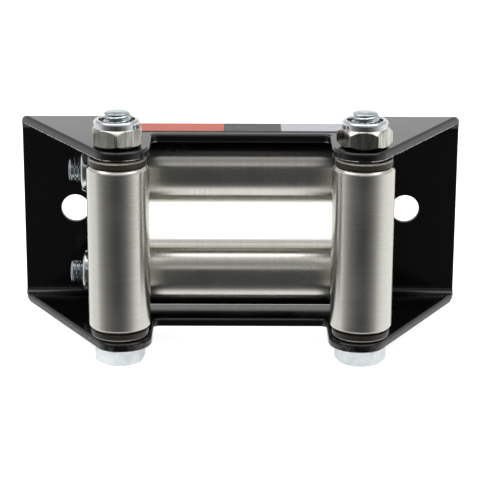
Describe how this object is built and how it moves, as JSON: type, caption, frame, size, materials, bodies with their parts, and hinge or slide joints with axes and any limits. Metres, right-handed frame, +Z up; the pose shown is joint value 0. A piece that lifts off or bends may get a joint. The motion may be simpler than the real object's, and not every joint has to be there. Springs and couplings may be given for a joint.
{
  "type": "roller fairlead",
  "caption": "Winch roller fairlead: free-turning steel rollers on bolts in a black bent-steel bracket, which guide a rope from any side.",
  "frame": {"origin": "under the middle of the fairlead: the centre of the bounding box in X and Y, level with the undersides of the upright bolts' heads", "axes": "+X to the right along the bracket, seen from where the rope leaves; +Y back to the face that is bolted down; +Z up, along the upright rollers"},
  "size_m": [0.1622, 0.0616, 0.0914],
  "materials": {
    "black_powder_coat": "black powder coat on steel sheet",
    "turned_steel": "turned and polished steel tube",
    "bushing_plastic": "dark grey bearing plastic",
    "plated_bolt": "bright zinc plating",
    "plated_nut": "bright zinc plating",
    "nylon": "dark nylon"
  },
  "bodies": {
    "frame": {"bracket": "black_powder_coat", "vertical_bolt_left": "plated_bolt", "vertical_nut_left": "plated_nut", "vertical_nut_insert_left": "nylon", "vertical_bolt_right": "plated_bolt", "vertical_nut_right": "plated_nut", "vertical_nut_insert_right": "nylon", "horizontal_bolt_upper": "plated_bolt", "horizontal_nut_upper": "plated_nut", "horizontal_nut_insert_upper": "nylon", "horizontal_bolt_lower": "plated_bolt", "horizontal_nut_lower": "plated_nut", "horizontal_nut_insert_lower": "nylon"},
    "vertical_roller_set_left": {"vertical_roller_left": "turned_steel", "vertical_bushing_left_bottom": "bushing_plastic", "vertical_bushing_left_top": "bushing_plastic"},
    "vertical_roller_set_right": {"vertical_roller_right": "turned_steel", "vertical_bushing_right_bottom": "bushing_plastic", "vertical_bushing_right_top": "bushing_plastic"},
    "horizontal_roller_set_upper": {"horizontal_roller_upper": "turned_steel", "horizontal_bushing_upper_left": "bushing_plastic", "horizontal_bushing_upper_right": "bushing_plastic"},
    "horizontal_roller_set_lower": {"horizontal_roller_lower": "turned_steel", "horizontal_bushing_lower_left": "bushing_plastic", "horizontal_bushing_lower_right": "bushing_plastic"}
  },
  "joints": [
    {"name": "vertical_roller_left_spin", "type": "hinge", "parent": "frame", "child": "vertical_roller_set_left", "pos_m": [-0.043, -0.01925, 0.0429], "axis": [0, 0, 1], "continuous": true},
    {"name": "vertical_roller_right_spin", "type": "hinge", "parent": "frame", "child": "vertical_roller_set_right", "pos_m": [0.043, -0.01925, 0.0429], "axis": [0, 0, 1], "continuous": true},
    {"name": "horizontal_roller_upper_spin", "type": "hinge", "parent": "frame", "child": "horizontal_roller_set_upper", "pos_m": [0, 0.0115, 0.0625], "axis": [1, 0, 0], "continuous": true},
    {"name": "horizontal_roller_lower_spin", "type": "hinge", "parent": "frame", "child": "horizontal_roller_set_lower", "pos_m": [0, 0.0115, 0.0233], "axis": [1, 0, 0], "continuous": true}
  ]
}
